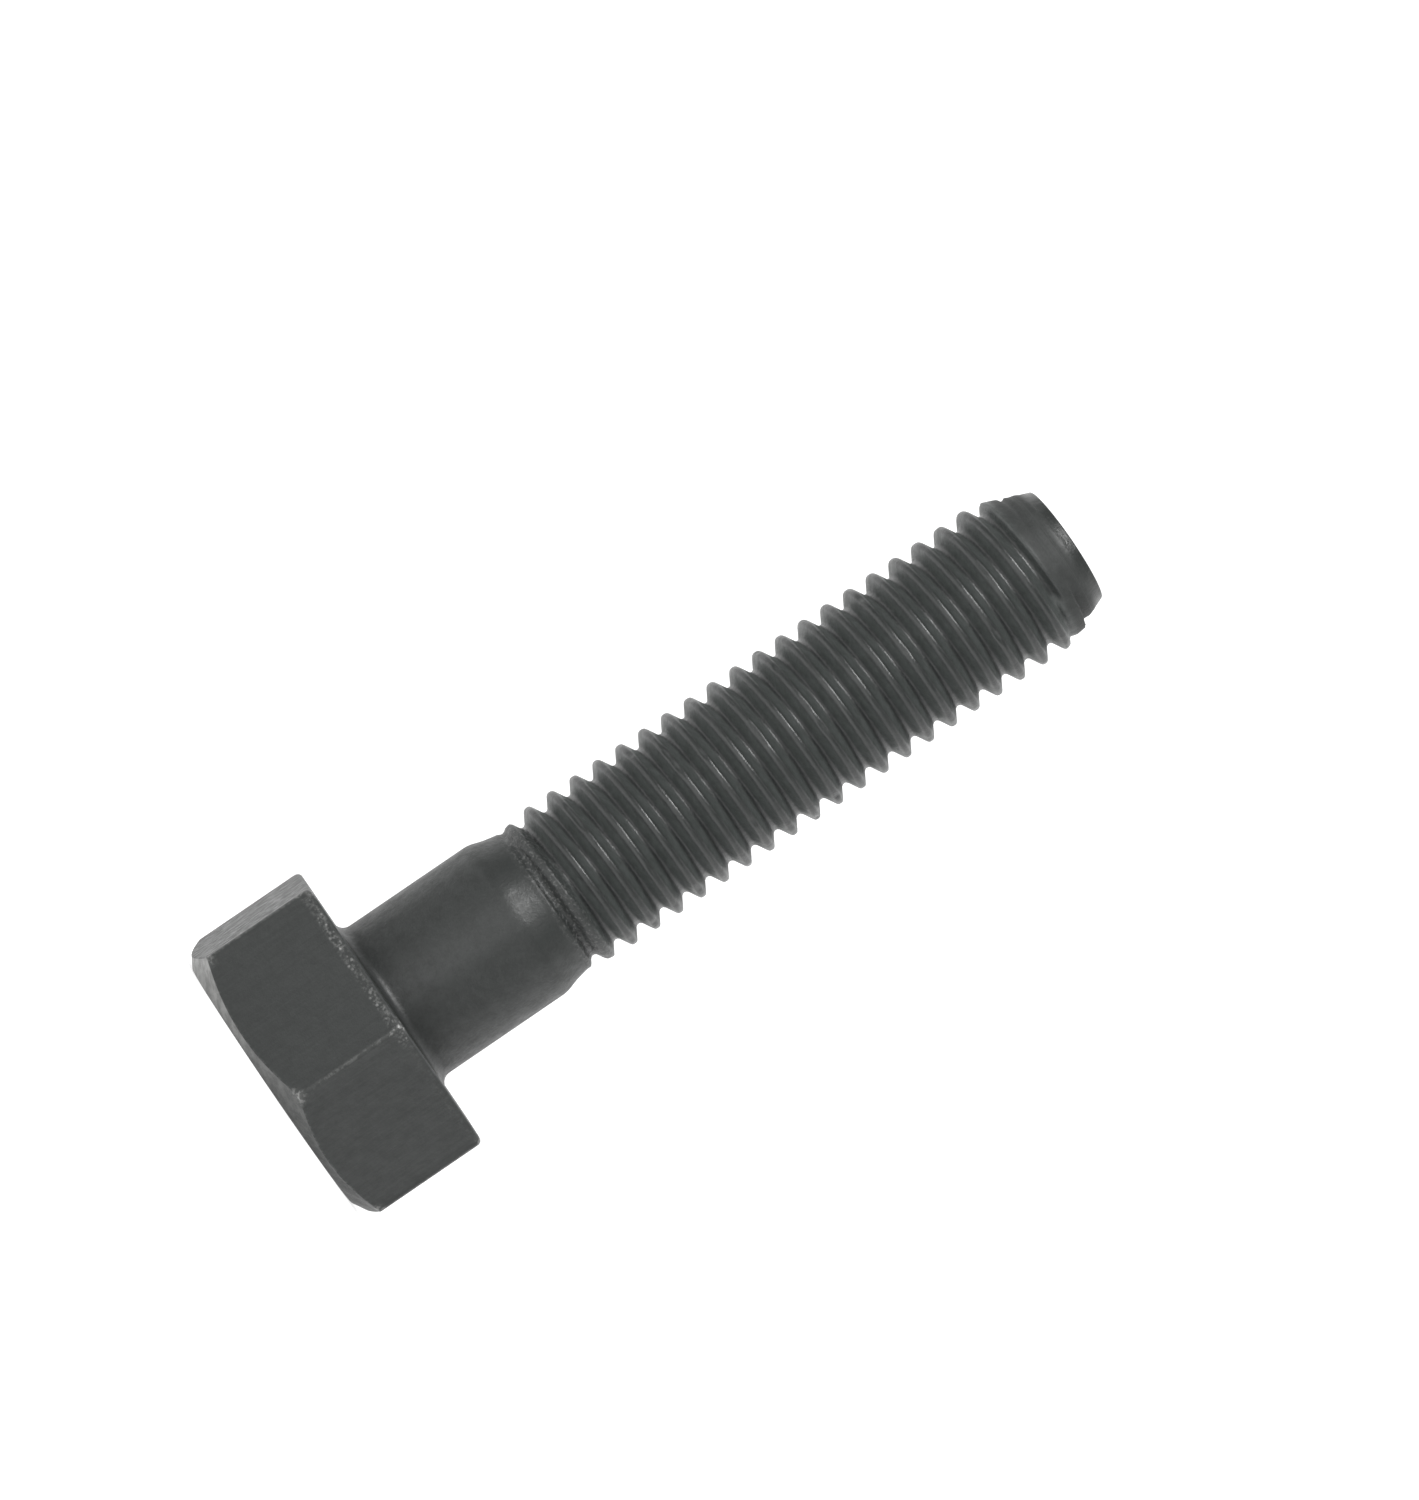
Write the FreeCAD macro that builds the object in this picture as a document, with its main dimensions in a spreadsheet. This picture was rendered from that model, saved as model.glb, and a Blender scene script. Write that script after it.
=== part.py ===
import FreeCAD, Part
import os

import Sketcher

# Hex bolt, forged and thread-rolled from one piece of steel.
# Frame: origin at the centre of the bearing face under the head, +Z along the shank to the point.
# The head lies below the origin, with two corners on the Y axis and two flats facing +X and -X.

# Driving dimensions, in millimetres, degrees and turns. Heights are measured from the bearing face.
DIMENSIONS = {
    # head
    "across_flats": 13.8,
    "head_height": 6.4,
    "head_edge_radius": 0.25,
    "top_circle_diameter": 12.7,
    "top_chamfer_angle": 30,
    "corner_break_width": 0.15,
    "corner_break_height": 0.25,
    # shank
    "shank_diameter": 8,
    "shank_top": 6.95,
    "fillet_radius": 0.4,
    # neck, where the shank narrows to the diameter that the thread is rolled on
    "neck_shoulder_diameter": 7.56,
    "neck_shoulder_top": 7.55,
    "neck_diameter": 7.24,
    "neck_top": 8.4,
    # thread, M8 x 1.25 right-hand
    "thread_pitch": 1.25,
    "crest_diameter": 7.88,
    "root_diameter": 6.47,
    "root_flat": 0.18,
    "flank_angle": 30,
    "full_crest_height": 10,
    "groove_start_height": 8.845,
    "runout_turns": 0.75,
    "runout_depth": 0.5,
    # point
    "end_height": 37,
    "end_diameter": 5.76,
    "point_angle": 22,
    # how far the cutting tools reach past the metal
    "groove_overshoot": 0.13,
    "end_overshoot": 0.6,
    "chamfer_overshoot": 2,
}


def make_sheet(doc):
    sheet = doc.addObject("Spreadsheet::Sheet", "Dimensions")
    for row, (name, value) in enumerate(DIMENSIONS.items(), start=1):
        sheet.set(f"A{row}", name)
        sheet.set(f"B{row}", str(value))
        sheet.setAlias(f"B{row}", name)
    doc.recompute()
    return sheet


def dim(name):
    """How an expression names a cell of the sheet."""
    return f"Dimensions.{name}"


def origin_feature(body, role):
    """One of the body's own origin planes or axes."""
    return next(item for item in body.Origin.OriginFeatures if item.Role == role)


def new_sketch(body, name, plane):
    sketch = body.newObject("Sketcher::SketchObject", name)
    sketch.AttachmentSupport = [(origin_feature(body, plane), "")]
    sketch.MapMode = "FlatFace"
    return sketch


def add_outline(sketch, points):
    """A closed outline of straight lines, joined end to end and numbered from 0."""
    for start, end in zip(points, points[1:] + points[:1]):
        line = Part.LineSegment(FreeCAD.Vector(*start, 0), FreeCAD.Vector(*end, 0))
        sketch.addGeometry(line, False)
    for i in range(len(points)):
        sketch.addConstraint(Sketcher.Constraint("Coincident", i, 2, (i + 1) % len(points), 1))


def add_dimension(sketch, name, expression, kind, *references):
    """A named sketch dimension, driven by an expression."""
    value = float(sketch.evalExpression(expression))
    index = sketch.addConstraint(Sketcher.Constraint(kind, *references, value))
    sketch.renameConstraint(index, name)
    sketch.setExpression(f"Constraints.{name}", expression)


def place_start(sketch, line, name, across, height):
    """Hold the start of a line by its distance from the axis and its height, None meaning zero."""
    if across is None:
        sketch.addConstraint(Sketcher.Constraint("PointOnObject", line, 1, -2))
    else:
        add_dimension(sketch, name + "_across", across, "DistanceX", -1, 1, line, 1)
    if height is None:
        sketch.addConstraint(Sketcher.Constraint("PointOnObject", line, 1, -1))
    else:
        add_dimension(sketch, name + "_height", height, "DistanceY", -1, 1, line, 1)


def add_feature(body, kind, name, **settings):
    """Add a feature to the body, set its properties and bring the model up to date."""
    feature = body.newObject(kind, name)
    for prop, value in settings.items():
        if isinstance(value, str):
            feature.setExpression(prop, value)
        else:
            setattr(feature, prop, value)
    body.Document.recompute()
    return feature


def check_cut(before, after):
    """A cut that points away from the metal removes nothing."""
    if after.Shape.Volume >= before.Shape.Volume - 1e-3:
        raise RuntimeError(f"{after.Name} removed no metal")
    return after


def edges_where(feature, is_wanted):
    """The names of the edges that a test picks out."""
    return [f"Edge{i}" for i, edge in enumerate(feature.Shape.Edges, start=1) if is_wanted(edge)]


def make_head(body):
    """A hexagon hanging below the bearing face, its six upright edges slightly rounded."""
    sketch = new_sketch(body, "head_outline", "XY_Plane")
    corner, half_side = f"{dim('across_flats')} / sqrt(3)", f"{dim('across_flats')} / sqrt(12)"
    flat = f"{dim('across_flats')} / 2"
    add_outline(sketch, [(0, 8), (-7, 4), (-7, -4), (0, -8), (7, -4), (7, 4)])
    place_start(sketch, 0, "rear_corner", None, corner)
    place_start(sketch, 1, "rear_left", f"-{flat}", half_side)
    place_start(sketch, 2, "front_left", f"-{flat}", f"-{half_side}")
    place_start(sketch, 3, "front_corner", None, f"-{corner}")
    place_start(sketch, 4, "front_right", flat, f"-{half_side}")
    place_start(sketch, 5, "rear_right", flat, half_side)
    hexagon = add_feature(
        body, "PartDesign::Pad", "hexagon", Profile=sketch, Reversed=True, Length=dim("head_height")
    )
    upright = edges_where(hexagon, lambda edge: abs(edge.tangentAt(edge.FirstParameter).z) > 0.9)
    return add_feature(
        body, "PartDesign::Fillet", "upright_edges", Base=(hexagon, upright), Radius=dim("head_edge_radius")
    )


def turn_head(body, head):
    """The cone turned on the head's outer end, and the small break on its corners at the bearing face."""
    axis = (origin_feature(body, "Z_Axis"), [""])
    reach = f"{dim('across_flats')} / sqrt(3) + {dim('chamfer_overshoot')}"
    circle = f"{dim('top_circle_diameter')} / 2"
    outer_end = f"-{dim('head_height')}"
    rise = f"({reach} - {circle}) * tan({dim('top_chamfer_angle')})"
    sketch = new_sketch(body, "top_chamfer_outline", "XZ_Plane")
    add_outline(sketch, [(6, -6), (10, -6), (10, -4)])
    place_start(sketch, 0, "top_circle", circle, outer_end)
    place_start(sketch, 1, "outside", reach, outer_end)
    place_start(sketch, 2, "cone", reach, f"{outer_end} + {rise}")
    chamfer = add_feature(body, "PartDesign::Groove", "top_chamfer", Profile=sketch, ReferenceAxis=axis)
    check_cut(head, chamfer)

    # The rounded upright edges bring each corner in by its radius times (2 / sqrt(3) - 1).
    width, height = dim("corner_break_width"), dim("corner_break_height")
    corner = f"({dim('across_flats')} / sqrt(3) - {dim('head_edge_radius')} * (2 / sqrt(3) - 1))"
    slope = f"{height} / {width}"
    sketch = new_sketch(body, "corner_break_outline", "XZ_Plane")
    add_outline(sketch, [(7, 0), (10, -4), (10, 0)])
    place_start(sketch, 0, "bearing", f"{corner} - {width}", None)
    place_start(sketch, 1, "slope", reach, f"-({reach} - {corner} + {width}) * {slope}")
    place_start(sketch, 2, "outside", reach, None)
    corner_break = add_feature(
        body, "PartDesign::Groove", "corner_break", Profile=sketch, ReferenceAxis=axis
    )
    return check_cut(chamfer, corner_break)


def make_shank(body):
    """The turned form of everything above the head, before the thread is cut into it."""
    sketch = new_sketch(body, "shank_outline", "YZ_Plane")
    shank, shoulder = f"{dim('shank_diameter')} / 2", f"{dim('neck_shoulder_diameter')} / 2"
    neck, crest = f"{dim('neck_diameter')} / 2", f"{dim('crest_diameter')} / 2"
    end = f"{dim('end_diameter')} / 2"
    point_start = f"{dim('end_height')} - ({crest} - {end}) / tan({dim('point_angle')})"
    add_outline(
        sketch, [(0, 0), (4, 0), (4, 7), (3.8, 8), (3.6, 9), (3.9, 10), (3.9, 34), (3, 37), (0, 37)]
    )
    place_start(sketch, 0, "centre", None, None)
    place_start(sketch, 1, "shank_root", shank, None)
    place_start(sketch, 2, "shank_top", shank, dim("shank_top"))
    place_start(sketch, 3, "shoulder", shoulder, dim("neck_shoulder_top"))
    place_start(sketch, 4, "neck", neck, dim("neck_top"))
    place_start(sketch, 5, "first_full_crest", crest, dim("full_crest_height"))
    place_start(sketch, 6, "point_start", crest, point_start)
    place_start(sketch, 7, "end_edge", end, dim("end_height"))
    place_start(sketch, 8, "end_centre", None, dim("end_height"))
    axis = (origin_feature(body, "Z_Axis"), [""])
    blank = add_feature(body, "PartDesign::Revolution", "shank_blank", Profile=sketch, ReferenceAxis=axis)

    radius = float(body.Document.getObject("Dimensions").shank_diameter) / 2

    def is_root_circle(edge):
        circle = edge.Curve
        return isinstance(circle, Part.Circle) and abs(circle.Center.z) + abs(circle.Radius - radius) < 1e-6

    return add_feature(
        body, "PartDesign::Fillet", "underhead_fillet", Base=(blank, edges_where(blank, is_root_circle)),
        Radius=dim("fillet_radius"),
    )


def draw_groove(body):
    """The thread's groove in section: a narrow flat root, and a flank each side that opens outwards."""
    sketch = new_sketch(body, "groove_outline", "XZ_Plane")
    middle, half_flat = dim("groove_start_height"), f"{dim('root_flat')} / 2"
    root = f"{dim('root_diameter')} / 2"
    mouth = f"({dim('crest_diameter')} / 2 + {dim('groove_overshoot')})"
    half_mouth = f"({half_flat} + ({mouth} - {root}) * tan({dim('flank_angle')}))"
    add_outline(sketch, [(4.1, 9.3), (3.2, 8.9), (3.2, 8.7), (4.1, 8.3)])
    place_start(sketch, 0, "upper_mouth", mouth, f"{middle} + {half_mouth}")
    place_start(sketch, 1, "upper_root", root, f"{middle} + {half_flat}")
    place_start(sketch, 2, "lower_root", root, f"{middle} - {half_flat}")
    place_start(sketch, 3, "lower_mouth", mouth, f"{middle} - {half_mouth}")
    return sketch


def cut_thread(body, shank):
    """The groove at full depth up to and past the point, then its shallow run-out into the neck."""
    sketch = draw_groove(body)
    axis = (origin_feature(body, "Z_Axis"), [""])
    pitch = dim("thread_pitch")
    full_height = f"{dim('end_height')} + {dim('end_overshoot')} - {dim('groove_start_height')}"
    groove = add_feature(
        body, "PartDesign::SubtractiveHelix", "thread_groove", Profile=sketch, ReferenceAxis=axis,
        Pitch=pitch, Height=full_height,
    )
    check_cut(shank, groove)
    runout_height = f"{dim('runout_turns')} * {pitch}"
    runout_angle = f"atan({dim('runout_depth')} / ({runout_height}))"
    runout = add_feature(
        body, "PartDesign::SubtractiveHelix", "thread_runout", Profile=sketch, ReferenceAxis=axis,
        Reversed=True, Pitch=pitch, Height=runout_height, Angle=runout_angle,
    )
    return check_cut(groove, runout)


def check_document(doc):
    """Stop if any object failed to compute."""
    failed = [item.Name for item in doc.Objects if {"Invalid", "Error"} & set(item.State)]
    if failed:
        raise RuntimeError(f"these objects failed: {failed}")


def write_node(body):
    shape = body.Shape
    if shape.isNull() or not shape.isValid() or len(shape.Solids) != 1:
        raise RuntimeError(f"{body.Label} is not one valid solid")
    shape.exportStep(f"parts/{body.Label}.step")
    print(f"{body.Label}: {shape.Volume:.1f} mm3, {len(shape.Faces)} faces")


def main():
    doc = FreeCAD.newDocument("hex_bolt")
    make_sheet(doc)
    bolt = doc.addObject("PartDesign::Body", "Bolt")
    bolt.Label = "hex_bolt"
    bolt.Placement = FreeCAD.Placement()
    head = make_head(bolt)
    turn_head(bolt, head)
    shank = make_shank(bolt)
    cut_thread(bolt, shank)
    check_document(doc)
    os.makedirs("parts", exist_ok=True)
    write_node(bolt)


main()
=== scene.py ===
import math
from types import SimpleNamespace

import bpy
import numpy as np
from mathutils import Matrix, Vector


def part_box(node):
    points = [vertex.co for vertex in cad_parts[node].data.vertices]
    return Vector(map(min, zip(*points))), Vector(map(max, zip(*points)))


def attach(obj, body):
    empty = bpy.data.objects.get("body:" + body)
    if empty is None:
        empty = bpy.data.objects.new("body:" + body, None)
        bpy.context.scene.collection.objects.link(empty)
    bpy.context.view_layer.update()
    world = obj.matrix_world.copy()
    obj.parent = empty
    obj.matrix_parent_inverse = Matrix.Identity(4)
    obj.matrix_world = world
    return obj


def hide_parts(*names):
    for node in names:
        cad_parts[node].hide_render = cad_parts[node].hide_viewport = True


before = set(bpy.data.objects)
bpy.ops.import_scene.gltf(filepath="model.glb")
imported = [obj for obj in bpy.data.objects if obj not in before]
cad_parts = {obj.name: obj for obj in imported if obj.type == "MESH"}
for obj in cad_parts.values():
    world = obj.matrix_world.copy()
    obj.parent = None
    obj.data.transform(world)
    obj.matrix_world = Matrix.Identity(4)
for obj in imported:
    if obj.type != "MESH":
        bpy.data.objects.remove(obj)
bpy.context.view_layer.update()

# A hex bolt in black oxide, as one closed mesh made of columns round its axis.
# z = 0 is the bearing face under the head, and +Z runs along the shank to the point.
# Lengths are in millimetres and azimuths in degrees from +X, except where a comment says otherwise.

NODE = "hex_bolt"
MM = 0.001

# ---------------------------------------------------------------- sizes of the head
low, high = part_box(NODE)
HEAD_HEIGHT = -low[2] / MM
APOTHEM = high[0] / MM
HALF_SIDE = math.radians(30)        # half the angle that one side of the hexagon takes up
CORNER_RADIUS = APOTHEM / math.cos(HALF_SIDE)
UPRIGHT_EDGE = 0.25
TOP_CIRCLE = 6.35
TOP_SLOPE = math.tan(math.radians(30))
TOP_ROUND = 0.2                     # rounding where the chamfer meets the head's outer end
SHOULDER_ROUND = (0.05, 0.05)       # rounding in the middle of a side, and how much more at its corners
BEARING_ROUND = (0.15, 0.15)

# ---------------------------------------------------------------- sizes of the shank and the thread
END_HEIGHT = high[2] / MM
SHANK_RADIUS = 4.0
FILLET = 0.5
CREST_RADIUS = 3.94
BODY_PROFILE = (                    # height and radius of the turned form, before threading
    (FILLET, SHANK_RADIUS), (6.95, SHANK_RADIUS), (7.55, 3.79), (8.4, 3.62), (10.0, CREST_RADIUS),
)
BLEND_SHIFTS = np.linspace(-0.22, 0.22, 5)
ROOT_RADIUS = 3.265
ROOT_ROUND = 0.2
PITCH = 1.25
FLANK = math.radians(30)
GROOVE_START = 8.845
RUNOUT_TURNS = 0.75
RUNOUT_DEPTH = 0.42
RUNOUT_CLIMB = 0.5                  # share of the pitch that the run-out climbs in a turn
RUNOUT_SOFTNESS = (9.4, 10.2)       # the groove's edges are softer below these heights
END_RADIUS = 2.88
END_ROUND = 0.07
POINT_SLOPE = math.tan(math.radians(22))
THREAD_FROM, THREAD_TO = 7.7, 36.55     # the helical rows of the mesh run between these heights

# ---------------------------------------------------------------- wear in the shape
SEED = 20
NICK_COUNT = 90
NICKED_TURNS = 23
NICK_DEPTH = (0.02, 0.09)
NICK_WIDTH = (0.006, 0.016)         # in turns
DEEPEST_NICK = 0.1
CREST_WANDER = 0.03
LIP_MIDDLE = -12.0                  # azimuth of the middle of the ragged lip at the point
LIP_REACH = 62.0                    # degrees that the lip reaches to either side
LIP_FADE = 18.0
LIP_PROFILE = ((34.9, 3.58), (35.15, 3.64), (35.6, 3.59), (35.67, 3.21), (36.1, 3.24), (36.5, 3.09))
LIP_BAND = (34.62, 34.95, 36.2, 36.6)
TRACE_DEPTH = 0.02                  # faint traces of thread left on the point
TRACES_PER_PITCH = 2.2
TRACE_BAND = (35.5, 35.7, 36.4, 36.65)

# ---------------------------------------------------------------- finish
RUBBED_FLAT = -120.0                # azimuth of the flat whose bearing edge is rubbed
SCUFFED_FLAT = 180.0                # azimuth of the flat that is scuffed
CHAMFER_PAINTED_LIGHT_AZIMUTH = -165.0            # azimuth where the head's chamfer is painted lightest: painted light on the side where light falls
OXIDE_DARK = (0.0155, 0.0175, 0.0165, 1)
OXIDE_LIGHT = (0.0245, 0.0270, 0.0260, 1)
FLANK_PAINTED_LIGHT = 2.4                  # painted light: the oxide on the thread's flanks is made this much lighter, to lift the shade in the grooves
BARE_STEEL = (0.50, 0.50, 0.49, 1)
STEEL_METALLIC = 0.9
# Share of bare steel, where the oxide holds and where it has broken.
EDGE_WEAR = (0.05, 0.26)
CORNER_WEAR = (0.10, 0.5)
# On the chamfer this bare steel is painted light, laid as patches and strongest on the side where light
# falls.
CHAMFER_PAINTED_LIGHT = (0.30, 0.50)
# The most that the share of bare steel reaches.
SHOULDER_WEAR = 0.08
SCUFF_WEAR = 0.11
BEARING_WEAR = 0.75
LAND_WEAR = 0.03
START_WEAR = 0.12
# Roughness of dark and light oxide, between scuffs and on them, and of the burnished or torn places.
OXIDE_ROUGHNESS = (0.54, 0.41)
SCUFF_ROUGHNESS = (0.58, 0.36)
LAND_ROUGHNESS = 0.32
POINT_ROUGHNESS = 0.66
EDGE_ROUGHNESS = 0.3
# Depths of the relief.
MOTTLE_DEPTH = 0.034
GRAIN_DEPTH = 0.010
DRAW_DEPTH = 0.0040
TURNING_DEPTH = 0.0020
TORN_DEPTH = 0.07
CUT_DEPTH = 0.012

# ---------------------------------------------------------------- studio
CAMERA_ANGLES = (-97.3, -3.42, -55.74)  # azimuth, elevation and roll, in degrees
CAMERA_TARGET = (-1.4, 0.18, 18.38)     # a point on the camera's axis
CAMERA_DISTANCE = 287.4
CAMERA_LENS = 152.75
SENSOR_WIDTH = 36
SURROUND = 1.34                     # brightness of the surround behind the bolt
FRONT_SURROUND = 0.12               # and on the camera's side
DIM_AZIMUTH = -115.0
DIM_FROM, DIM_TO = -0.45, 0.35      # cosines, from that azimuth, between which the surround dims
LIGHT_TARGET = (0, 0, 15)
KEY_PLACE = (-112, 230, 208)        # azimuth, distance from the axis and height
KEY_SIZE = (0.12, 0.055)            # in metres
KEY_POWER = 0.85
FILL_PLACE = (-106, 300, 15)
FILL_SIZE = (0.16, 0.16)
FILL_POWER = 0.13
FLOOR_REACH = 3.0                   # in metres
FLOOR_COLOUR = (0.45, 0.45, 0.45, 1)
FLOOR_ROUGHNESS = 0.7
FLOOR_GLOW = 0.8


# ---------------------------------------------------------------- small helpers
def smooth_step(low_end, high_end, value):
    """Nought to one as the value goes from one end to the other. The ends may be in either order."""
    part = np.clip((value - low_end) / (high_end - low_end), 0, 1)
    return part * part * (3 - 2 * part)


def band(value, start, full, fading, end):
    """One between full and fading, and nought before start and after end."""
    return smooth_step(start, full, value) * smooth_step(end, fading, value)


def soft_min(a, b, blend):
    """The smaller of two lengths, with the corner where they cross rounded."""
    gap = np.clip(0.5 + 0.5 * (b - a) / blend, 0, 1)
    return b * (1 - gap) + a * gap - blend * gap * (1 - gap)


def degrees_off(angle, azimuth):
    """How many degrees an angle in radians lies from an azimuth, either way round."""
    return np.abs((np.degrees(angle) - azimuth + 180) % 360 - 180)


def from_corner(angle):
    """The angle from the nearest corner of the hexagon. One corner is at -90 degrees."""
    return np.radians((np.degrees(angle) + 90 + 30) % 60 - 30)


# ---------------------------------------------------------------- the head
def column_angles():
    """Angles round the axis, close together at the hexagon's six rounded upright edges."""
    half_width = UPRIGHT_EDGE * math.tan(HALF_SIDE)
    touch = math.degrees(math.atan2(
        half_width * math.sin(math.radians(60)), CORNER_RADIUS - half_width * math.cos(math.radians(60)),
    ))
    near = np.array([0.0, touch / 3, touch * 2 / 3, touch, touch + 0.15, touch + 0.4])
    away = np.linspace(touch + 0.4, 30, 11)[1:]
    half = np.concatenate([near, away])
    sector = np.concatenate([-half[:0:-1], half[:-1]])
    corners = -90 + 60 * np.arange(6)
    return np.sort(np.radians((corners[:, None] + sector[None, :]).ravel() % 360))


def hexagon_radius(angle):
    """Distance from the axis to the hexagon, its corners rounded."""
    off = from_corner(angle)
    flat = APOTHEM / np.cos(HALF_SIDE - np.abs(off))
    centre = CORNER_RADIUS - UPRIGHT_EDGE / math.sin(math.radians(60))
    inside = np.maximum(UPRIGHT_EDGE**2 - (centre * np.sin(off)) ** 2, 0)
    rounded = centre * np.cos(off) + np.sqrt(inside)
    return np.where(inside > 0, np.minimum(flat, rounded), flat)


def round_corner(before, corner, after, radius, steps):
    """Rows of an arc that rounds the corner of a section. A row holds a radius and height per column."""
    one, two = before - corner, after - corner
    one = one / np.linalg.norm(one, axis=1, keepdims=True)
    two = two / np.linalg.norm(two, axis=1, keepdims=True)
    half = np.arccos(np.clip((one * two).sum(1), -1, 1)) / 2
    radius = np.broadcast_to(radius, half.shape)
    bisector = (one + two) / np.linalg.norm(one + two, axis=1, keepdims=True)
    centre = corner + bisector * (radius / np.sin(half))[:, None]
    reach = (radius / np.tan(half))[:, None]
    start, end = corner + one * reach - centre, corner + two * reach - centre
    turn = np.pi - 2 * half
    rows = []
    for step in np.linspace(0, 1, steps):
        a = (np.sin((1 - step) * turn) / np.sin(turn))[:, None]
        b = (np.sin(step * turn) / np.sin(turn))[:, None]
        rows.append(centre + a * start + b * end)
    return rows


def between(first, last, parts):
    """Rows strictly between two rows, at the given parts of the way."""
    return [first + (last - first) * part for part in parts]


def level_row(radius, height, count):
    """A row at one height, its radius one number or one per column."""
    return np.stack([np.broadcast_to(radius, count), np.broadcast_to(height, count)], 1)


def head_rows(angle):
    """Rows of the head's section from its outer end round to the top of the under-head fillet."""
    count = len(angle)
    side = hexagon_radius(angle)
    slope_top = -HEAD_HEIGHT + (side - TOP_CIRCLE) * TOP_SLOPE
    toward_corner = (side - APOTHEM) / (CORNER_RADIUS - APOTHEM)
    centre, circle = level_row(0.4, -HEAD_HEIGHT, count), level_row(TOP_CIRCLE, -HEAD_HEIGHT, count)
    shoulder, bearing_edge = level_row(side, slope_top, count), level_row(side, 0, count)
    inner, shank = level_row(SHANK_RADIUS, 0, count), level_row(SHANK_RADIUS, 2, count)
    shoulder_radius = SHOULDER_ROUND[0] + SHOULDER_ROUND[1] * toward_corner
    bearing_radius = BEARING_ROUND[0] + BEARING_ROUND[1] * toward_corner**4
    end_arc = round_corner(centre, circle, shoulder, TOP_ROUND, 6)
    shoulder_arc = round_corner(circle, shoulder, bearing_edge, shoulder_radius, 5)
    edge_arc = round_corner(shoulder, bearing_edge, inner, bearing_radius, 7)
    fillet = round_corner(bearing_edge, inner, shank, FILLET, 9)
    up_the_side = np.concatenate([[0.01], np.linspace(0.04, 0.96, 24), [0.99]])
    rows = [centre] + between(centre, end_arc[0], (0.2, 0.4, 0.6, 0.8, 0.95, 0.99)) + end_arc
    rows += between(end_arc[-1], shoulder_arc[0], (0.05, 0.25, 0.5, 0.75, 0.95)) + shoulder_arc
    rows += between(shoulder_arc[-1], edge_arc[0], up_the_side) + edge_arc
    rows += between(edge_arc[-1], fillet[0], (0.02, 0.1, 0.3, 0.5, 0.7, 0.9, 0.98)) + fillet
    return rows


# ---------------------------------------------------------------- the shank and the thread
def envelope(height):
    """Radius of the turned form at a height above the fillet, its corners softened."""
    heights, radii = zip(*BODY_PROFILE)
    body = np.mean([np.interp(height + shift, heights, radii) for shift in BLEND_SHIFTS], axis=0)
    point = END_RADIUS + (END_HEIGHT - height) * POINT_SLOPE
    return np.minimum(body, point)


def make_nicks():
    """Places along the crest, in turns, and the depth and width of the nick at each."""
    random = np.random.default_rng(SEED)
    places = random.uniform(0, NICKED_TURNS, NICK_COUNT)
    depths = random.uniform(*NICK_DEPTH, NICK_COUNT)
    widths = random.uniform(*NICK_WIDTH, NICK_COUNT)
    return places, depths, widths


NICK_PLACES, NICK_DEPTHS, NICK_WIDTHS = make_nicks()


def crest_damage(wound):
    """How far the rolled crest falls short of its full height, at a number of turns along the thread."""
    nicks = (NICK_DEPTHS * np.exp(-(((wound[..., None] - NICK_PLACES) / NICK_WIDTHS) ** 2))).sum(-1)
    slow, quick = np.sin(2 * np.pi * wound * 2.3), np.sin(2 * np.pi * wound * 7.1 + 1)
    return np.minimum(nicks, DEEPEST_NICK) + CREST_WANDER * (0.5 + 0.25 * slow + 0.25 * quick)


def groove_height(wound):
    """Height of the groove's middle. The run-out climbs less steeply than the thread."""
    return GROOVE_START + PITCH * np.where(wound < 0, wound * RUNOUT_CLIMB, wound)


def thread_radius(angle, height):
    """Radius of the groove's surface: round root, straight flanks and round crest, fading at the start."""
    turns = angle / (2 * np.pi)
    place = (height - GROOVE_START) / PITCH - turns
    lower, upper = np.floor(place) + turns, np.floor(place) + 1 + turns
    from_lower, from_upper = np.abs(height - groove_height(lower)), np.abs(groove_height(upper) - height)
    wound = np.where(from_lower < from_upper, lower, upper)
    half = PITCH / 2
    across = np.clip(np.minimum(from_lower, from_upper), 0, half)
    root_end = ROOT_ROUND * math.cos(FLANK)
    root_top = ROOT_RADIUS + ROOT_ROUND * (1 - math.sin(FLANK))
    # The crest's rounding is the one radius whose arc meets both the flank and the crest's height.
    crest_round = (half - root_end) / math.tan(FLANK) - (CREST_RADIUS - root_top)
    crest_start = half - crest_round * math.cos(FLANK)
    root = ROOT_RADIUS + ROOT_ROUND - np.sqrt(np.maximum(ROOT_ROUND**2 - across**2, 0))
    flank = root_top + (across - root_end) / math.tan(FLANK)
    crest = CREST_RADIUS - crest_round + np.sqrt(np.maximum(crest_round**2 - (half - across) ** 2, 0))
    crest = crest - crest_damage(lower) * smooth_step(0.7, 1.0, across / half)
    radius = np.where(across < root_end, root, np.where(across < crest_start, flank, crest))
    return radius + RUNOUT_DEPTH * np.clip(-wound / RUNOUT_TURNS, 0, 3)


def lip_share(angle):
    """One where the last turn of thread is left as a ragged lip, nought round the rest of the point."""
    return smooth_step(LIP_REACH, LIP_REACH - LIP_FADE, degrees_off(angle, LIP_MIDDLE))


def shank_radius(angle, height):
    """Radius of everything above the head, with the thread and the wear at the point."""
    form = envelope(height)
    softness = 0.03 + 0.12 * smooth_step(RUNOUT_SOFTNESS[1], RUNOUT_SOFTNESS[0], height)
    threaded = soft_min(form, thread_radius(angle, height), softness)
    wound = (height - GROOVE_START) / PITCH - angle / (2 * np.pi)
    traces = TRACE_DEPTH * np.sin(2 * np.pi * TRACES_PER_PITCH * wound)
    threaded = threaded + traces * band(height, *TRACE_BAND)
    lip = lip_share(angle) * band(height, *LIP_BAND)
    threaded = threaded * (1 - lip) + np.interp(height, *zip(*LIP_PROFILE)) * lip
    return np.where(height < THREAD_FROM - 0.2, form, threaded)


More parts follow.
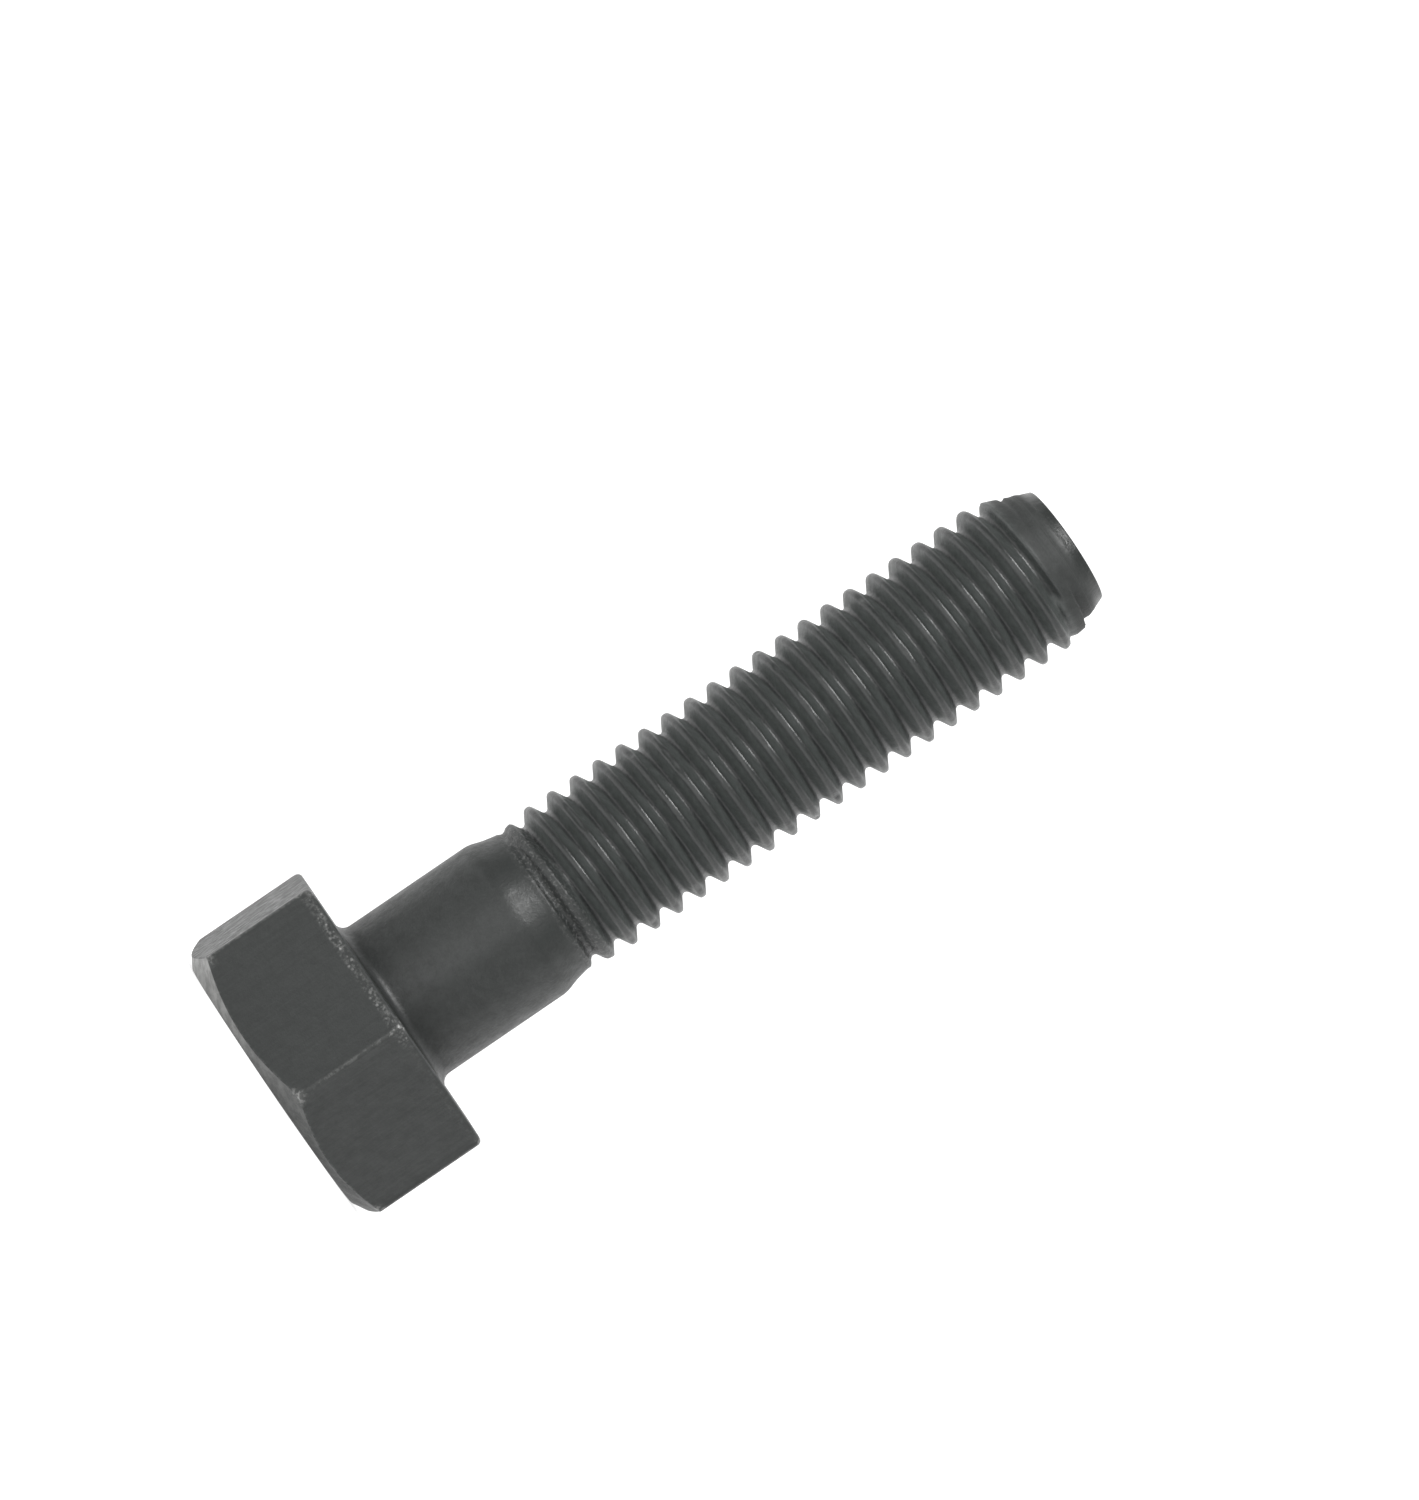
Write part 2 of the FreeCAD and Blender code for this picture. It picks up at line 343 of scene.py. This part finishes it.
def turn_shares():
    """Where the rows of one turn lie across the groove, as shares of the pitch from root to root."""
    root = np.linspace(0, 0.13, 3)
    flank = np.linspace(0.13, 0.35, 4)[1:]
    crest = np.linspace(0.35, 0.5, 5)[1:-1]
    half = np.concatenate([root, flank, crest])
    return np.concatenate([half, [0.5], 1 - half[:0:-1]])


# ---------------------------------------------------------------- the mesh
class Surface:
    """Collects points by angle, radius and height, and the faces between them."""

    def __init__(self, angle):
        self.angle = angle
        self.points = []
        self.faces = []

    def point(self, angle, radius, height):
        self.points.append((radius * math.cos(angle), radius * math.sin(angle), height))
        return len(self.points) - 1

    def ring(self, radius, height):
        return [self.point(*place) for place in zip(self.angle, radius, height)]

    def skin(self, lower, upper):
        """Faces between two rings."""
        for i in range(len(lower)):
            j = (i + 1) % len(lower)
            self.faces.append((lower[i], lower[j], upper[j], upper[i]))

    def fan(self, ring, height, facing_up):
        """Faces from a ring to a point on the axis."""
        middle = self.point(0.0, 0.0, height)
        for i in range(len(ring)):
            j = (i + 1) % len(ring)
            self.faces.append((ring[i], ring[j], middle) if facing_up else (ring[j], ring[i], middle))


def add_thread(surface, ring_below, ring_above):
    """Rows that climb one pitch per turn, joined to a level ring at each end."""
    angle = surface.angle
    count = len(angle)
    shares = turn_shares()
    rows = len(shares)
    climb = angle / (2 * np.pi) * PITCH
    first = math.floor((THREAD_FROM - GROOVE_START) / PITCH) - 1
    last = math.ceil((THREAD_TO - GROOVE_START) / PITCH) + 1
    level = np.concatenate([GROOVE_START + (turn + shares) * PITCH for turn in range(first, last)])
    gap = 0.25 * PITCH / rows
    height = level[None, :] + climb[:, None]
    radius = shank_radius(np.broadcast_to(angle[:, None], height.shape), height)
    points = {}

    def point(i, k):
        """The point of a column and a row. Past the last column, the first one follows a turn higher."""
        if i == count:
            i, k = 0, k + rows
        if (i, k) not in points:
            points[i, k] = surface.point(angle[i], float(radius[i, k]), float(height[i, k]))
        return points[i, k]

    def span(i):
        """The first and last rows of a column that lie between the two rings."""
        column, shift = (0, rows) if i == count else (i, 0)
        heights = level + climb[column]
        inside = np.nonzero((heights > THREAD_FROM + gap) & (heights < THREAD_TO - gap))[0]
        return inside[0] - shift, inside[-1] - shift

    for i in range(count):
        j = (i + 1) % count
        (a0, a1), (b0, b1) = span(i), span(i + 1)
        for k in range(max(a0, b0), min(a1, b1)):
            surface.faces.append((point(i, k), point(i + 1, k), point(i + 1, k + 1), point(i, k + 1)))
        # The lower end: one more row may begin in the next column.
        for k in range(b0, a0):
            surface.faces.append((point(i, a0), point(i + 1, k), point(i + 1, k + 1)))
        surface.faces.append((ring_below[i], ring_below[j], point(i + 1, b0), point(i, a0)))
        # The upper end: the last row may end in this column.
        for k in range(b1, a1):
            surface.faces.append((point(i, k), point(i + 1, b1), point(i, k + 1)))
        surface.faces.append((point(i, a1), point(i + 1, b1), ring_above[j], ring_above[i]))


def shank_rings(surface, heights):
    """Level rings of the shank or the point."""
    count = len(surface.angle)
    return [surface.ring(shank_radius(surface.angle, np.full(count, height)), np.full(count, height))
            for height in heights]


def lower_rings(surface):
    """Rings from the head's outer end to the start of the helical rows."""
    rings = [surface.ring(row[:, 0], row[:, 1]) for row in head_rows(surface.angle)]
    heights = np.concatenate([
        [0.6, 0.7], np.linspace(0.9, 6.5, 15), np.linspace(6.6, 7.3, 8), np.linspace(7.35, THREAD_FROM, 5),
    ])
    return rings + shank_rings(surface, heights)


def upper_rings(surface):
    """Rings from the end of the helical rows to the middle of the flat end."""
    heights = np.concatenate([[THREAD_TO], np.linspace(THREAD_TO + 0.1, END_HEIGHT - 0.08, 4)])
    rings = shank_rings(surface, heights)
    count = len(surface.angle)
    below = level_row(envelope(END_HEIGHT - 1), END_HEIGHT - 1, count)
    edge, inside = level_row(END_RADIUS, END_HEIGHT, count), level_row(0.3, END_HEIGHT, count)
    rows = round_corner(below, edge, inside, END_ROUND, 5)
    rows += between(rows[-1], inside, (0.03, 0.15, 0.4, 0.7)) + [inside]
    return rings + [surface.ring(row[:, 0], row[:, 1]) for row in rows]


def build_bolt():
    surface = Surface(column_angles())
    below, above = lower_rings(surface), upper_rings(surface)
    for rings in (below, above):
        for lower, upper in zip(rings, rings[1:]):
            surface.skin(lower, upper)
    surface.fan(below[0], -HEAD_HEIGHT, facing_up=False)
    surface.fan(above[-1], END_HEIGHT, facing_up=True)
    add_thread(surface, below[-1], above[0])
    mesh = bpy.data.meshes.new("bolt_surface")
    mesh.from_pydata([tuple(c * MM for c in p) for p in surface.points], [], surface.faces)
    mesh.validate(verbose=False)
    mesh.shade_smooth()
    bolt = bpy.data.objects.new("forged_hex_bolt", mesh)
    bpy.context.scene.collection.objects.link(bolt)
    return bolt


# ---------------------------------------------------------------- masks, where the finish differs
def head_masks(angle, radius, z):
    """Worn edges and corners, sheared flats, turned faces, and painted light on the side of the chamfer where
    light falls.
    """
    side = hexagon_radius(angle)
    off_corner = np.abs(from_corner(angle)) * CORNER_RADIUS
    shoulder_height = -HEAD_HEIGHT + (side - TOP_CIRCLE) * TOP_SLOPE
    on_side = (z < 0.01) & (radius > side - 0.35)
    off_end = np.minimum(np.abs(z), np.abs(z - shoulder_height))
    upright = np.where(on_side & (z > shoulder_height - 0.1), 1 - smooth_step(0.03, 0.13, off_corner), 0)
    rubbed_side = smooth_step(40, 28, degrees_off(angle, RUBBED_FLAT))
    bearing = np.where(on_side, band(z, -0.6, -0.35, -0.22, -0.06), 0)
    chamfer = np.where((z < shoulder_height) & (z > -HEAD_HEIGHT + 0.02), 1.0, 0.0)
    return {
        "upright_edge": upright * (0.35 + 0.65 * smooth_step(1.4, 0.6, np.abs(z))),
        "corner_spot": np.where(on_side, 1 - smooth_step(0.05, 0.4, np.hypot(off_corner, off_end)), 0),
        "shoulder_edge": np.where(on_side, 1 - smooth_step(0.01, 0.07, np.abs(z - shoulder_height)), 0),
        "bearing_edge": bearing * (0.08 + 0.92 * rubbed_side),
        "scuffed": np.where(on_side, smooth_step(31, 28, degrees_off(angle, SCUFFED_FLAT)), 0),
        "flat": np.where(on_side & (z > shoulder_height) & (z < -0.02), 1.0, 0.0),
        "turned": np.where((z < shoulder_height) | (z > END_HEIGHT - 0.01), 1.0, 0.0),
        # Painted light: the chamfer's mark is strongest on the side where light falls and fades to nothing on
        # the far side.
        "chamfer": chamfer * (0.5 + 0.5 * np.cos(angle - math.radians(CHAMFER_PAINTED_LIGHT_AZIMUTH))) ** 3,
    }


def thread_masks(radius, z):
    """The thread, its burnished crests and roots, its torn first turns, and the point."""
    crest = smooth_step(CREST_RADIUS - 0.2, CREST_RADIUS - 0.05, radius)
    root = 1 - smooth_step(ROOT_RADIUS, ROOT_RADIUS + 0.05, radius)
    return {
        "threaded": band(z, 9.2, 9.8, 34.8, 35.3),
        "thread_land": smooth_step(8.4, 8.8, z) * np.maximum(crest, root),
        "thread_start": band(z, 8.1, 8.5, 9.3, 9.9),
        "point": band(z, 35.0, 35.3, 36.2, 36.7),
    }


def add_masks(mesh):
    """Write the masks on the mesh, one number per point, for the material to read."""
    place = np.empty(len(mesh.vertices) * 3)
    mesh.vertices.foreach_get("co", place)
    x, y, z = place.reshape(-1, 3).T / MM
    radius, angle = np.hypot(x, y), np.arctan2(y, x)
    for name, values in {**head_masks(angle, radius, z), **thread_masks(radius, z)}.items():
        mask = mesh.attributes.new(name, "FLOAT", "POINT")
        mask.data.foreach_set("value", np.asarray(values, np.float32))


# ---------------------------------------------------------------- material
class Graph:
    """Short calls for building a node tree. A value is a number or another node's output."""

    def __init__(self, tree):
        self.nodes, self.links = tree.nodes, tree.links

    def node(self, kind, inputs=(), **settings):
        node = self.nodes.new(kind)
        for name, value in settings.items():
            setattr(node, name, value)
        for key, value in dict(inputs).items():
            if isinstance(value, bpy.types.NodeSocket):
                self.links.new(value, node.inputs[key])
            else:
                node.inputs[key].default_value = value
        return node

    def chain(self, operation, values):
        result = values[0]
        for value in values[1:]:
            result = self.node("ShaderNodeMath", {0: result, 1: value}, operation=operation).outputs[0]
        return result

    def times(self, *values):
        return self.chain("MULTIPLY", values)

    def plus(self, *values):
        return self.chain("ADD", values)

    def highest(self, *values):
        return self.chain("MAXIMUM", values)

    def less(self, one, two):
        return self.chain("SUBTRACT", (one, two))

    def mask(self, name):
        return self.node("ShaderNodeAttribute", attribute_name=name).outputs["Fac"]

    def vector_math(self, operation, one, two, output=0):
        return self.node("ShaderNodeVectorMath", {0: one, 1: two}, operation=operation).outputs[output]

    def noise(self, vector, scale, detail=4.0, roughness=0.55, output="Fac"):
        inputs = {"Vector": vector, "Scale": scale, "Detail": detail, "Roughness": roughness}
        return self.node("ShaderNodeTexNoise", inputs).outputs[output]

    def ramp(self, value, low_end, high_end, out_low=0.0, out_high=1.0):
        inputs = {"Value": value, "From Min": low_end, "From Max": high_end}
        inputs |= {"To Min": out_low, "To Max": out_high}
        return self.node("ShaderNodeMapRange", inputs, interpolation_type="SMOOTHSTEP").outputs[0]

    def mix(self, factor, one, two):
        return self.node("ShaderNodeMix", {0: factor, 2: one, 3: two}, data_type="FLOAT").outputs[0]

    def mix_colour(self, factor, one, two):
        return self.node("ShaderNodeMix", {0: factor, 6: one, 7: two}, data_type="RGBA").outputs[2]


def make_patterns(g):
    """The textures that the finish is made of, all placed in the bolt's own millimetres."""
    place = g.node("ShaderNodeTexCoord").outputs["Object"]
    in_mm = g.vector_math("MULTIPLY", place, (1 / MM, 1 / MM, 1 / MM))
    x, y, z = g.node("ShaderNodeSeparateXYZ", {0: in_mm}).outputs
    sideways = g.node("ShaderNodeCombineXYZ", {0: x, 1: y}).outputs[0]
    from_axis = g.vector_math("LENGTH", sideways, (0, 0, 0), "Value")
    ring_place = g.node("ShaderNodeCombineXYZ", {0: from_axis, 1: z}).outputs[0]
    mottle = g.noise(in_mm, 1.6, 6.0, 0.62)
    marble = g.noise(g.vector_math("MULTIPLY", in_mm, (3.2, 3.2, 1.6)), 1.0, 6.0, 0.7)
    return SimpleNamespace(
        in_mm=in_mm,
        mottle=mottle,
        grain=g.noise(in_mm, 7.0, 3.0, 0.6),
        along=g.noise(g.vector_math("MULTIPLY", in_mm, (9.0, 9.0, 0.35)), 1.0, 4.0, 0.6),
        rings=g.noise(ring_place, 9.0, 4.0, 0.65),
        torn=g.noise(g.vector_math("MULTIPLY", in_mm, (1.6, 1.6, 5.0)), 1.0, 3.0, 0.6),
        broken=g.ramp(g.noise(in_mm, 5.5, 2.0, 0.5), 0.46, 0.62),
        patches=g.ramp(mottle, 0.4, 0.6),
        marbled=g.ramp(marble, 0.38, 0.68),
    )


def oxide_shade(g, pattern):
    """How light the oxide is: mottled, with streaks along the sheared flats."""
    shade = g.plus(g.times(pattern.mottle, 0.7), g.times(pattern.grain, 0.3))
    shade = g.mix(g.times(g.mask("flat"), 0.35), shade, pattern.along)
    return g.ramp(shade, 0.33, 0.67)


def oxide_colour(g, shade):
    """The oxide's colour, with painted light on the thread's flanks that lifts the shade in the grooves."""
    colour = g.mix_colour(shade, OXIDE_DARK, OXIDE_LIGHT)
    # Painted light: a lighter copy of the oxide colour for the flanks, lifting the shade in the thread's
    # grooves.
    flank_painted_light_colour = g.vector_math("MULTIPLY", colour, (FLANK_PAINTED_LIGHT, FLANK_PAINTED_LIGHT, FLANK_PAINTED_LIGHT))
    flanks = g.times(g.mask("threaded"), g.less(1.0, g.mask("thread_land")))
    return g.mix_colour(flanks, colour, flank_painted_light_colour)


def flecks(g, pattern):
    """Small ragged specks of bare steel in a thin haze."""
    wobble = g.vector_math("MULTIPLY", g.noise(pattern.in_mm, 9.0, 2.0, 0.5, "Color"), (0.08, 0.08, 0.08))
    place = g.vector_math("ADD", pattern.in_mm, wobble)
    cells = g.node("ShaderNodeTexVoronoi", {"Vector": place, "Scale": 5.0}).outputs
    chosen = g.ramp(g.node("ShaderNodeSeparateXYZ", {0: cells["Color"]}).outputs[0], 0.3, 0.95)
    dots = g.times(g.ramp(cells["Distance"], 0.5, 0.1), chosen, g.ramp(pattern.mottle, 0.4, 0.58, 0.3, 1.0))
    haze = g.times(g.ramp(pattern.grain, 0.42, 0.66), g.ramp(pattern.mottle, 0.4, 0.6, 0.1, 0.35))
    return g.highest(dots, haze)


def steel_share(g, pattern):
    """How much bare steel shows: on edges, corners, scuffs, crests and the torn start of the thread, and as
    painted light on the side of the chamfer where light falls.
    """
    return g.highest(
        g.times(g.mask("upright_edge"), g.mix(pattern.broken, *EDGE_WEAR)),
        g.times(g.mask("corner_spot"), g.mix(pattern.broken, *CORNER_WEAR)),
        # Painted light: patchy bare steel on the side of the chamfer where light falls.
        g.times(g.mask("chamfer"), g.mix(pattern.patches, *CHAMFER_PAINTED_LIGHT)),
        g.times(g.mask("shoulder_edge"), pattern.broken, SHOULDER_WEAR),
        g.times(g.mask("scuffed"), pattern.marbled, SCUFF_WEAR),
        g.times(g.mask("bearing_edge"), flecks(g, pattern), BEARING_WEAR),
        g.times(g.mask("thread_land"), g.ramp(pattern.rings, 0.5, 0.72), LAND_WEAR),
        g.times(g.mask("thread_start"), g.ramp(pattern.grain, 0.52, 0.66), START_WEAR),
    )


def gloss(g, pattern, shade):
    """Roughness: semi-matt, burnished on the rolled crests and roots and on the upright edges."""
    rough = g.mix(shade, *OXIDE_ROUGHNESS)
    rough = g.mix(g.mask("scuffed"), rough, g.mix(pattern.marbled, *SCUFF_ROUGHNESS))
    rough = g.mix(g.times(g.mask("thread_land"), g.mix(pattern.patches, 0.6, 1.0)), rough, LAND_ROUGHNESS)
    rough = g.mix(g.mask("point"), rough, POINT_ROUGHNESS)
    return g.mix(g.times(g.mask("upright_edge"), 0.8), rough, EDGE_ROUGHNESS)


def relief(g, pattern):
    """Height: fine pitting, draw marks on the flats, turning marks, and a torn start and point."""
    drawn = g.plus(g.times(pattern.along, g.mask("flat")), g.times(g.mask("scuffed"), pattern.marbled))
    return g.plus(
        g.times(pattern.mottle, MOTTLE_DEPTH),
        g.times(pattern.grain, GRAIN_DEPTH),
        g.times(drawn, DRAW_DEPTH),
        g.times(pattern.rings, g.highest(g.mask("turned"), g.mask("thread_land")), TURNING_DEPTH),
        g.times(pattern.torn, g.mask("thread_start"), TORN_DEPTH),
        g.times(pattern.rings, g.mask("point"), CUT_DEPTH),
    )


def oxide_steel():
    """Black oxide: dark, semi-matt, faintly mottled, drawn with fine marks and worn to steel on the edges,
    with painted light on the thread's flanks and on one side of the chamfer.
    """
    material = bpy.data.materials.new("black_oxide_steel")
    material.use_nodes = True
    shader = material.node_tree.nodes["Principled BSDF"]
    g = Graph(material.node_tree)
    pattern = make_patterns(g)
    shade = oxide_shade(g, pattern)
    wear = steel_share(g, pattern)
    bump = g.node("ShaderNodeBump", {"Height": relief(g, pattern), "Strength": 1.0, "Distance": MM})
    g.links.new(g.mix_colour(wear, oxide_colour(g, shade), BARE_STEEL), shader.inputs["Base Color"])
    g.links.new(g.times(wear, STEEL_METALLIC), shader.inputs["Metallic"])
    g.links.new(gloss(g, pattern, shade), shader.inputs["Roughness"])
    g.links.new(bump.outputs["Normal"], shader.inputs["Normal"])
    return material


# ---------------------------------------------------------------- studio
def make_floor():
    """A pale table that glows, and stands under the head."""
    reach, z = FLOOR_REACH, low[2]
    mesh = bpy.data.meshes.new("floor")
    corners = [(-reach, -reach, z), (reach, -reach, z), (reach, reach, z), (-reach, reach, z)]
    mesh.from_pydata(corners, [], [(0, 1, 2, 3)])
    floor = bpy.data.objects.new("floor", mesh)
    bpy.context.scene.collection.objects.link(floor)
    material = bpy.data.materials.new("light_table")
    material.use_nodes = True
    shader = material.node_tree.nodes["Principled BSDF"]
    shader.inputs["Base Color"].default_value = FLOOR_COLOUR
    shader.inputs["Roughness"].default_value = FLOOR_ROUGHNESS
    shader.inputs["Emission Color"].default_value = (1, 1, 1, 1)
    shader.inputs["Emission Strength"].default_value = FLOOR_GLOW
    mesh.materials.append(material)


def add_camera():
    data = bpy.data.cameras.new("camera")
    camera = bpy.data.objects.new("camera", data)
    bpy.context.scene.collection.objects.link(camera)
    azimuth, elevation, roll = map(math.radians, CAMERA_ANGLES)
    level = math.cos(elevation)
    view = -Vector((level * math.cos(azimuth), level * math.sin(azimuth), math.sin(elevation)))
    right = view.cross(Vector((0, 0, 1))).normalized()
    up = right.cross(view) * math.cos(roll) + right * math.sin(roll)
    rotation = Matrix((view.cross(up), up, -view)).transposed().to_4x4()
    place = Vector(CAMERA_TARGET) * MM - view * CAMERA_DISTANCE * MM
    camera.matrix_world = Matrix.Translation(place) @ rotation
    data.lens = CAMERA_LENS
    data.sensor_width = SENSOR_WIDTH
    data.clip_start = 0.01
    bpy.context.scene.camera = camera


def add_area(name, place, size, power):
    """A rectangular light that faces the bolt, placed by azimuth, distance from the axis and height."""
    azimuth, distance, height = place
    turn = math.radians(azimuth)
    data = bpy.data.lights.new(name, "AREA")
    data.shape = "RECTANGLE"
    data.size, data.size_y = size
    data.energy = power
    light = bpy.data.objects.new(name, data)
    bpy.context.scene.collection.objects.link(light)
    light.location = Vector((distance * math.cos(turn), distance * math.sin(turn), height)) * MM
    light.visible_camera = False
    aim = Vector(LIGHT_TARGET) * MM - light.location
    light.rotation_euler = aim.to_track_quat("-Z", "Y").to_euler()


def make_world():
    """A white backdrop all round, which lights the bolt from behind and dims on the camera's side."""
    world = bpy.data.worlds.new("studio")
    world.use_nodes = True
    g = Graph(world.node_tree)
    background = world.node_tree.nodes["Background"]
    direction = g.node("ShaderNodeTexCoord").outputs["Generated"]
    azimuth = math.radians(DIM_AZIMUTH)
    front = (math.cos(azimuth), math.sin(azimuth), 0.0)
    facing = g.vector_math("DOT_PRODUCT", direction, front, "Value")
    strength = g.ramp(facing, DIM_FROM, DIM_TO, SURROUND, FRONT_SURROUND)
    seen = g.node("ShaderNodeLightPath").outputs["Is Camera Ray"]
    g.links.new(g.mix(seen, strength, SURROUND), background.inputs["Strength"])
    background.inputs["Color"].default_value = (1, 1, 1, 1)
    bpy.context.scene.world = world
    bpy.context.scene.view_settings.view_transform = "Standard"


bolt = build_bolt()
add_masks(bolt.data)
bolt.data.materials.append(oxide_steel())
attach(bolt, "root")
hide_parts(NODE)

make_floor()
add_camera()
make_world()
add_area("key", KEY_PLACE, KEY_SIZE, KEY_POWER)
add_area("fill", FILL_PLACE, FILL_SIZE, FILL_POWER)
